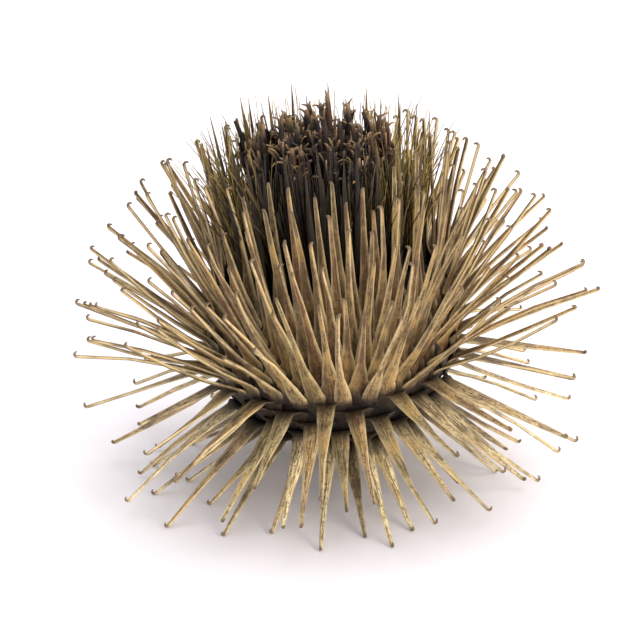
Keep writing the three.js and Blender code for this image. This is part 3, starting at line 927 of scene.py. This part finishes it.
def spokes(number, count, channel, axis, out):
    """Directions square to the axis, evenly round it from an uneven start: cosine and sine."""
    angle = 2 * np.pi * (np.arange(count) + uneven(number, channel)) / count
    return np.cos(angle)[:, None] * out[0] + np.sin(angle)[:, None] * np.cross(axis[0], out[0])


# %% The tubes of a floret: petals and anthers
TUBE_STATIONS = np.array([[0.0, 0.2, 0.4, 0.52, 0.62, 0.7, 0.77, 0.79]])
TUBE_SWELL = np.array([[0.8, 0.8, 0.8, 0.95, 1.3, 1.6, 1.6, 0.5]])
TUBE_AROUND = 9
TUBE_FLATNESS = 0.75, 0.2, 14
TUBE_TWIST = 0.0, 2.0, 15
TUBE_PALENESS = 0.15
FLORET_SWAY = 0.0, 0.12, 13
SWAY_WAVES = 4
LIMB_STATIONS = np.linspace(0, 1, 6)[None]
ANTHER_HALF_WIDTHS = np.array([[0.2, 0.24, 0.26, 0.27, 0.24, 0.14]]) * MM
ANTHER_HALF_DEPTHS = np.array([[0.16, 0.2, 0.22, 0.23, 0.2, 0.12]]) * MM
ANTHER_AROUND = 6
ANTHER_SHARE = 0.27, 0.07, 29
ANTHER_PALENESS = 0.45, 0.4, 35


def petal_tube(number, foot, axis, out, length):
    """A swaying tube with a swollen throat. Like the four that follow, this gives a set of tubes,
    and then how pale they are at their stations."""
    radius = TUBE_SWELL * FLORET_RADIUS
    flattened = radius * varied(number, *TUBE_FLATNESS)
    sway = varied(number, *FLORET_SWAY) * np.sin(TUBE_STATIONS * SWAY_WAVES)
    twist = varied(number, *TUBE_TWIST) * TUBE_STATIONS
    tubes = carried_tubes(
        foot, axis, out, TUBE_STATIONS * length, sway, radius, flattened, TUBE_AROUND, twist
    )
    return tubes, TUBE_PALENESS * TUBE_STATIONS


def anther_tube(number, throat, axis, out, length):
    """A dark stem out of the throat, thickest past its middle, and paler by the fourth power of how
    far along it a point is."""
    distance = LIMB_STATIONS * length * varied(number, *ANTHER_SHARE)
    sway = varied(number, *FLORET_SWAY) * LIMB_STATIONS * SWAY_WAVES
    tubes = carried_tubes(
        throat[None], axis, out, distance, sway, ANTHER_HALF_WIDTHS, ANTHER_HALF_DEPTHS, ANTHER_AROUND
    )
    return tubes, LIMB_STATIONS**4 * varied(number, *ANTHER_PALENESS)


# %% The limbs of a floret: lobes, threads and style branches
LOBES, THREADS, BRANCHES = 5, 8, 2
MOST_LIMBS = 12
LIMB_AROUND = 4
LOBE_START, THREAD_START, BRANCH_START = 16, 30, 33  # channels of the first spoke's turn
LOBE_FOOT = 1.3  # radii from the middle of the throat
LOBE_SHARE = 0.15, 0.07, 17  # of the floret's length
LOBE_CURL = 0.3, -1.3, 18
LOBE_TWIST = 0.0, 2.5, 19
LOBE_PALENESS = 0.45, 0.5, 34
LOBE_HALF_WIDTHS = np.array([[0.34, 0.34, 0.3, 0.26, 0.2, 0.1]]) * MM
LOBE_HALF_DEPTHS = np.array([[0.14, 0.13, 0.12, 0.1, 0.09, 0.05]]) * MM
THREAD_FOOT = 0.45 * MM
THREAD_RISE_MM = 0.6, 1.1, 37
THREAD_LENGTH_MM = 1.2, 0.6, 31
THREAD_CURL = 0.9, 2.2, 32
THREAD_PALENESS = 0.6, 0.5, 36
THREAD_HALF_WIDTHS = np.array([[0.13, 0.13, 0.13, 0.12, 0.1, 0.06]]) * MM
THREAD_HALF_DEPTHS = np.array([[0.08, 0.08, 0.08, 0.08, 0.07, 0.05]]) * MM
BRANCH_LENGTH_MM = 0.9, 0.4, 20
BRANCH_CURL = 1.2, 1.0, 21
BRANCH_HALF_WIDTHS = np.array([[0.12, 0.12, 0.12, 0.11, 0.1, 0.06]]) * MM
BRANCH_HALF_DEPTHS = np.array([[0.1, 0.1, 0.1, 0.09, 0.08, 0.05]]) * MM


def limb_numbers(number, count):
    """A column of numbers that no limb of another floret has."""
    return (number * MOST_LIMBS + np.arange(float(count)))[:, None]


def petal_lobes(number, throat, axis, out, length):
    """Blades that stand on the throat's edge and curl in or out, faster towards their tips."""
    limb, spoke = limb_numbers(number, LOBES), spokes(number, LOBES, LOBE_START, axis, out)
    tubes = carried_tubes(
        throat + spoke * FLORET_RADIUS * LOBE_FOOT, np.broadcast_to(axis, spoke.shape), spoke,
        LIMB_STATIONS * length * varied(limb, *LOBE_SHARE),
        varied(limb, *LOBE_CURL) * LIMB_STATIONS**1.5,
        LOBE_HALF_WIDTHS, LOBE_HALF_DEPTHS, LIMB_AROUND, varied(limb, *LOBE_TWIST) * LIMB_STATIONS,
    )
    return tubes, LIMB_STATIONS**2 * varied(limb, *LOBE_PALENESS)


def anther_threads(number, throat, axis, out):
    """Short curled threads that come off the anther tube at uneven heights."""
    limb, spoke = limb_numbers(number, THREADS), spokes(number, THREADS, THREAD_START, axis, out)
    root = throat + axis * varied(limb, *THREAD_RISE_MM) * MM
    tubes = carried_tubes(
        root + spoke * THREAD_FOOT, np.broadcast_to(axis, spoke.shape), spoke,
        LIMB_STATIONS * varied(limb, *THREAD_LENGTH_MM) * MM,
        varied(limb, *THREAD_CURL) * LIMB_STATIONS,
        THREAD_HALF_WIDTHS, THREAD_HALF_DEPTHS, LIMB_AROUND,
    )
    return tubes, TUBE_PALENESS + LIMB_STATIONS * varied(limb, *THREAD_PALENESS)


def style_branches(number, anther_end, axis, out):
    """The two branches that curl away from each other at the top."""
    limb, spoke = limb_numbers(number, BRANCHES), spokes(number, BRANCHES, BRANCH_START, axis, out)
    tubes = carried_tubes(
        np.broadcast_to(anther_end, spoke.shape), np.broadcast_to(axis, spoke.shape), spoke,
        LIMB_STATIONS * varied(limb, *BRANCH_LENGTH_MM) * MM,
        LIMB_STATIONS * varied(limb, *BRANCH_CURL),
        BRANCH_HALF_WIDTHS, BRANCH_HALF_DEPTHS, LIMB_AROUND,
    )
    return tubes, 0.25 + 0.4 * LIMB_STATIONS


# %% Make the florets
FLORET_TONE = 0.0, 1.0, 12
FLORET_MAP_SHIFT_MM = 3.0  # from each floret's map to the next one's


def floret_parts(number):
    """A floret as parts for make_piece. Each part grows out of the middle of one before it, and its
    points know how pale they are and how high up the floret, as a share of its length."""
    foot, axis, out, length = floret_stand(float(number))
    petals = petal_tube(number, foot, axis, out, length)
    throat = petals[0][0].mean(axis=2)[0, -3]
    lobes = petal_lobes(number, throat, axis, out, length)
    anthers = anther_tube(number, throat, axis, out, length)
    anther_end = anthers[0][0].mean(axis=2)[0, -2]
    threads = anther_threads(number, throat, axis, out)
    branches = style_branches(number, anther_end, axis, out)
    return [
        {
            "grid": on_table(grid),
            "map": tube_map + number * FLORET_MAP_SHIFT_MM,
            "high": (grid - foot[0]) @ axis[0] / length,
            "pale": pale[..., None],
            "tone": varied(number, *FLORET_TONE),
        }
        for (grid, tube_map, _), pale in (petals, lobes, anthers, threads, branches)
    ]


for number in range(FLORET_COUNT):
    floret = make_piece(f"withered_floret_{number + 1:02d}", floret_parts(number), floret_finish)
    join_row(floret, f"floret_{number + 1:02d}")
print("florets:", FLORET_COUNT, "of", len(floret.data.polygons), "faces each")

# %% [markdown]
# ## Bristles
#
# Each seed down in the cup carries a brush of stiff golden bristles that stand between the florets.
# A few long ones stick out over the tuft, and round its edge they are thickest, with painted shade at
# the front. Real ones are finer than a tenth of a millimetre, and these are drawn at one to two tenths,
# so that they still show. Hair curves would be lighter, but tubes of three sides stay a mesh wherever
# the piece is taken.

# %% The bristles' finish
def bristle():
    """A stiff golden hair: smooth, so glossier than the bracts."""
    material, tree, tone = new_finish("golden_seed_bristle", "tone")
    # the tone holds each bristle's own tone and painted shade at the front
    finish_surface(tree, tinted(tree, linear("#c4a858"), "#1a110a", tone, -1.0, 0.8), 0.42)
    return material


bristle_finish = bristle()
print("finish:", bristle_finish.name, "of", len(bristle_finish.node_tree.nodes), "nodes")


# %% Sets of bristles
BRISTLE_TURN = 0.0, 0.4, 22
BRISTLE_SWAY = 0.0, 0.5, 26
BRISTLE_TAPER = 1.05, -0.75  # the radius at the foot, and what is added to it by the tip
BRISTLE_TONE = 0.0, 0.7, 27
FRONT_PAINTED_SHADE = 1.3
LEAN_CHANNEL, HEADING_CHANNEL, LENGTH_CHANNEL = 23, 24, 25
SHOULDER_POINTS = 60
BRISTLE_AROUND = 3


def bristles(count, first, reach, lengths, thickness, splay, wander):
    """Thin tapered tubes with a slow sway. They stand between two shares of the bed's radius, spread
    evenly over that ring, and past its edge their feet follow the receptacle's shoulder down."""
    number = np.arange(float(count)) + first
    share = np.sqrt(reach[0] ** 2 + (reach[1] ** 2 - reach[0] ** 2) * (np.arange(count) + 0.5) / count)
    turn = number * GOLDEN_ANGLE + varied(number, *BRISTLE_TURN)
    shoulder = np.linspace(INNER_RIM_AT, 0, SHOULDER_POINTS)
    shoulder_radius, shoulder_height = cup_point(shoulder, CUP_WALL + SEAT_GAP)
    foot_height = np.interp(bed_edge * share, shoulder_radius, shoulder_height)
    foot = np.stack(
        (bed_edge * share * np.cos(turn), bed_edge * share * np.sin(turn), foot_height), axis=-1
    )
    lean = splay * share + uneven(number, LEAN_CHANNEL) * wander
    heading = turn + uneven(number, HEADING_CHANNEL) * wander
    axis = np.stack(
        (np.sin(lean) * np.cos(heading), np.sin(lean) * np.sin(heading), np.cos(lean)), axis=-1
    )
    out = np.stack(
        (np.cos(lean) * np.cos(heading), np.cos(lean) * np.sin(heading), -np.sin(lean)), axis=-1
    )
    length = lengths[0] + (lengths[1] - lengths[0]) * (uneven(number, LENGTH_CHANNEL) + 1) / 2
    sway = varied(number, *BRISTLE_SWAY)[:, None] * LIMB_STATIONS
    radius = thickness / 2 * (BRISTLE_TAPER[0] + BRISTLE_TAPER[1] * LIMB_STATIONS)
    grid, tube_map, _ = carried_tubes(
        foot, axis, out, LIMB_STATIONS * length[:, None], sway, radius, radius, BRISTLE_AROUND
    )
    # painted shade: the bristles at the front of the head are darkened
    tone = varied(number, *BRISTLE_TONE) + FRONT_PAINTED_SHADE * at_front(turn)
    return {"grid": on_table(grid), "map": tube_map, "tone": tone[:, None, None]}


# %% Make the bristles
among = bristles(300, first=1000, reach=(0.1, 1.0), lengths=(5 * MM, 9.5 * MM),
                 thickness=0.11 * MM, splay=FLORET_SPLAY, wander=0.12)
round_edge = bristles(620, first=2000, reach=(0.84, 1.22), lengths=(7.5 * MM, 12 * MM),
                      thickness=0.22 * MM, splay=FLORET_SPLAY * 2.4, wander=0.12)
over_top = bristles(16, first=3000, reach=(0.2, 1.0), lengths=(13 * MM, 15 * MM),
                    thickness=0.17 * MM, splay=FLORET_SPLAY, wander=0.3)

brush = make_piece("seed_bristles", [among, round_edge], bristle_finish)
join_row(brush, None)
strays = make_piece("stray_bristles", [over_top], bristle_finish)
join_row(strays, None)
print("bristles:", len(brush.data.polygons) + len(strays.data.polygons), "faces")

# %% [markdown]
# ## Floor, light and camera
#
# The burr stands on plain white card in a bright room, which gives it soft grey shadows. A large
# light stands above it and a little behind, as a window would, and a smaller, warmer one at the front
# right brings out the relief of the front bracts. One bright lamp would draw hard shadows of every
# needle on the card.

# %% The floor
FLOOR_HALF = 1.5


def white_card():
    """Matte white card: pressed fibre with no gloss."""
    material, tree = new_finish("matte_white_card")
    finish_surface(tree, linear("#e3e1e6"), 0.9)
    return material


floor_mesh = bpy.data.meshes.new("floor")
floor_corners = np.array([[-1, -1, 0], [1, -1, 0], [1, 1, 0], [-1, 1, 0]]) * FLOOR_HALF
floor_mesh.from_pydata(floor_corners, [], [[0, 1, 2, 3]])
floor_mesh.materials.append(white_card())
floor = bpy.data.objects.new("floor", floor_mesh)
bpy.context.scene.collection.objects.link(floor)
print("floor:", 2 * FLOOR_HALF, "m across")

# %% The lights
scene = bpy.context.scene
scene.view_settings.view_transform = "Standard"
world = bpy.data.worlds.new("bright_room")
scene.world = world
world.use_nodes = True
world.node_tree.nodes["Background"].inputs["Color"].default_value = linear("#f6f5fb")
world.node_tree.nodes["Background"].inputs["Strength"].default_value = 1.0

head_centre = Vector(head_place)


def soft_light(name, place, width, watts, colour):
    """A square area light at a place round the head, aimed at it."""
    light = bpy.data.lights.new(name, "AREA")
    light.shape = "SQUARE"
    light.size = width
    light.energy = watts
    light.color = linear(colour)[:3]
    lamp = bpy.data.objects.new(name, light)
    lamp.location = head_centre + Vector(place)
    lamp.rotation_euler = (-Vector(place)).to_track_quat("-Z", "Y").to_euler()
    scene.collection.objects.link(lamp)
    print("light:", name, "of", watts, "W,", round(lamp.location.z, 2), "m up")


soft_light("window_light", place=(0.08, 0.16, 0.6), width=0.6, watts=3.4, colour="#fffaf2")
soft_light("front_light", place=(0.4, -0.45, 0.18), width=0.3, watts=3.4, colour="#fff3df")

# %% The camera
VIEW_WIDTH = 53.2 * MM
CAMERA_DISTANCE = 0.34
CAMERA_ELEVATION = np.radians(22)
AIM_RIGHT = -1.1 * MM
AIM_UP = 0.8 * MM
FILM_WIDTH_MM = 36

camera_data = bpy.data.cameras.new("camera")
camera_data.sensor_width = FILM_WIDTH_MM
camera_data.lens = FILM_WIDTH_MM * CAMERA_DISTANCE / VIEW_WIDTH
camera_data.clip_start = 0.01
camera = bpy.data.objects.new("camera", camera_data)
back = Vector((0, -np.cos(CAMERA_ELEVATION), np.sin(CAMERA_ELEVATION)))
up = Vector((0, np.sin(CAMERA_ELEVATION), np.cos(CAMERA_ELEVATION)))
aim = head_centre + Vector((1, 0, 0)) * AIM_RIGHT + up * AIM_UP
camera.location = aim + back * CAMERA_DISTANCE
camera.rotation_euler = (-back).to_track_quat("-Z", "Y").to_euler()
scene.collection.objects.link(camera)
scene.camera = camera
print("camera: a lens of", round(camera_data.lens), "mm,", CAMERA_DISTANCE, "m away")
